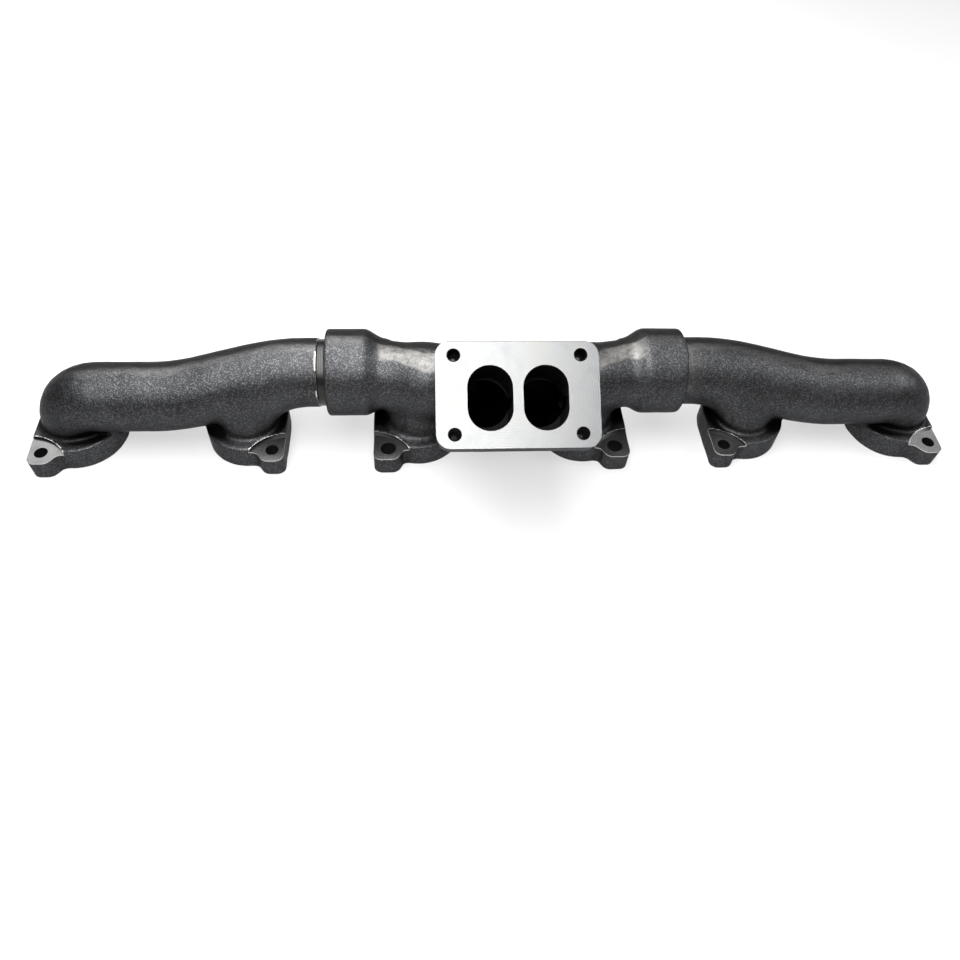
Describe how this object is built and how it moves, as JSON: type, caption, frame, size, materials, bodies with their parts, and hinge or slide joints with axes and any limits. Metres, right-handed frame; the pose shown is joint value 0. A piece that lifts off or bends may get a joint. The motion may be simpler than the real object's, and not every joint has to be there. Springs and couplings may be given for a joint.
{
  "type": "exhaust manifold",
  "caption": "Slip-jointed cast exhaust manifold for an in-line engine: end castings plug into a centre casting that carries the divided turbocharger flange.",
  "frame": {"origin": "on the cylinder-head joint plane, midway between the third and fourth ports", "axes": "+X along the engine to the right-hand end casting, +Y away from the turbocharger flange, +Z out of the cylinder head"},
  "size_m": [0.925, 0.1946, 0.1759],
  "materials": {
    "cast_iron": "sand-cast skin with machined faces",
    "ring_iron": "ground"
  },
  "bodies": {
    "center": {"center_casting": "cast_iron"},
    "left_rings": {"left_seal_ring_1": "ring_iron", "left_seal_ring_2": "ring_iron", "left_seal_ring_3": "ring_iron"},
    "left_end": {"left_end_casting": "cast_iron"},
    "right_rings": {"right_seal_ring_1": "ring_iron", "right_seal_ring_2": "ring_iron", "right_seal_ring_3": "ring_iron"},
    "right_end": {"right_end_casting": "cast_iron"}
  },
  "joints": [
    {"name": "left_slip", "type": "slide", "parent": "center", "child": "left_rings", "axis": [-1, 0, 0], "range_m": [-0.006, 0.012]},
    {"name": "left_swivel", "type": "hinge", "parent": "left_rings", "child": "left_end", "pos_m": [-0.15, 0.02, 0.0683], "axis": [-1, 0, 0], "range_deg": [-90, 90]},
    {"name": "right_slip", "type": "slide", "parent": "center", "child": "right_rings", "axis": [1, 0, 0], "range_m": [0, 0.018]},
    {"name": "right_swivel", "type": "hinge", "parent": "right_rings", "child": "right_end", "pos_m": [0.15, 0.02, 0.0683], "axis": [1, 0, 0], "range_deg": [-90, 90]}
  ]
}
